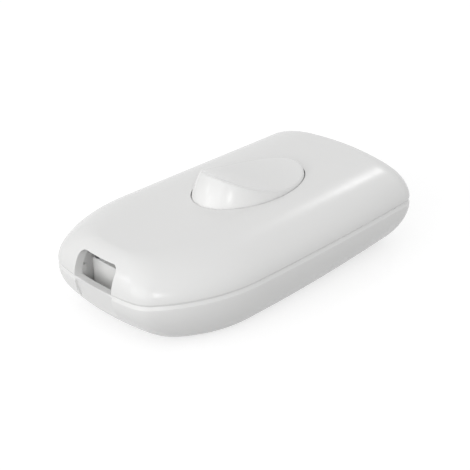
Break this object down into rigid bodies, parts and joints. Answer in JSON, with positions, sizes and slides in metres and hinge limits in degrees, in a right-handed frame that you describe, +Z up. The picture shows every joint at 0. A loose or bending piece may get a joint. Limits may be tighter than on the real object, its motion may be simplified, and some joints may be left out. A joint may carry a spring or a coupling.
{
  "type": "inline cord switch",
  "caption": "White in-line cord switch for a flat two-core mains lead: a rounded two-part housing with an oval dished rocker in its top and an open cord inlet in each end, no cord.",
  "frame": {"origin": "centre of the bounding box in plan, on the flat base", "axes": "+X along the housing towards the wide end, +Y across it, +Z up through the rocker"},
  "size_m": [0.0795, 0.0468, 0.0252],
  "materials": {
    "white_plastic": "gloss",
    "inner_plastic": "matte",
    "brass": "satin",
    "silver_contact": "satin",
    "zinc_steel": "satin",
    "spring_steel": "satin"
  },
  "bodies": {
    "housing": {"upper_housing": "white_plastic", "lower_housing": "white_plastic", "near_cord_clamp": "inner_plastic", "far_cord_clamp": "inner_plastic", "near_clamp_screws": "zinc_steel", "far_clamp_screws": "zinc_steel", "housing_screws": "zinc_steel", "housing_nuts": "zinc_steel", "front_pivot_terminal": "brass", "back_pivot_terminal": "brass", "front_fixed_terminal": "brass", "back_fixed_terminal": "brass", "front_fixed_tip": "silver_contact", "back_fixed_tip": "silver_contact", "pivot_terminal_screws": "zinc_steel", "fixed_terminal_screws": "zinc_steel"},
    "rocker_body": {"rocker": "white_plastic", "front_plunger_spring": "spring_steel", "back_plunger_spring": "spring_steel"},
    "front_plunger_body": {"front_plunger": "inner_plastic"},
    "back_plunger_body": {"back_plunger": "inner_plastic"},
    "front_seesaw_body": {"front_seesaw_contact": "brass", "front_moving_tip": "silver_contact"},
    "back_seesaw_body": {"back_seesaw_contact": "brass", "back_moving_tip": "silver_contact"}
  },
  "joints": [
    {"name": "rocker_hinge", "type": "hinge", "parent": "housing", "child": "rocker_body", "pos_m": [0.0053, 0, 0.015], "axis": [0, -1, 0], "range_deg": [0, 20.8]},
    {"name": "front_plunger_slide", "type": "slide", "parent": "rocker_body", "child": "front_plunger_body", "axis": [0.1805, 0, 0.9836], "range_m": [0, 0.0005], "stiffness_N_per_m": 100, "deforming": ["front_plunger_spring"]},
    {"name": "back_plunger_slide", "type": "slide", "parent": "rocker_body", "child": "back_plunger_body", "axis": [0.1805, 0, 0.9836], "range_m": [0, 0.0005], "stiffness_N_per_m": 100, "deforming": ["back_plunger_spring"]},
    {"name": "front_seesaw_hinge", "type": "hinge", "parent": "housing", "child": "front_seesaw_body", "pos_m": [0.0053, -0.0046, 0.0062], "axis": [0, 1, 0], "range_deg": [0, 14]},
    {"name": "back_seesaw_hinge", "type": "hinge", "parent": "housing", "child": "back_seesaw_body", "pos_m": [0.0053, 0.0046, 0.0062], "axis": [0, 1, 0], "range_deg": [0, 14]}
  ],
  "couplings": [
    {"joint": "front_seesaw_hinge", "follows": "rocker_hinge", "ratio": 0.67308},
    {"joint": "back_seesaw_hinge", "follows": "rocker_hinge", "ratio": 0.67308}
  ]
}
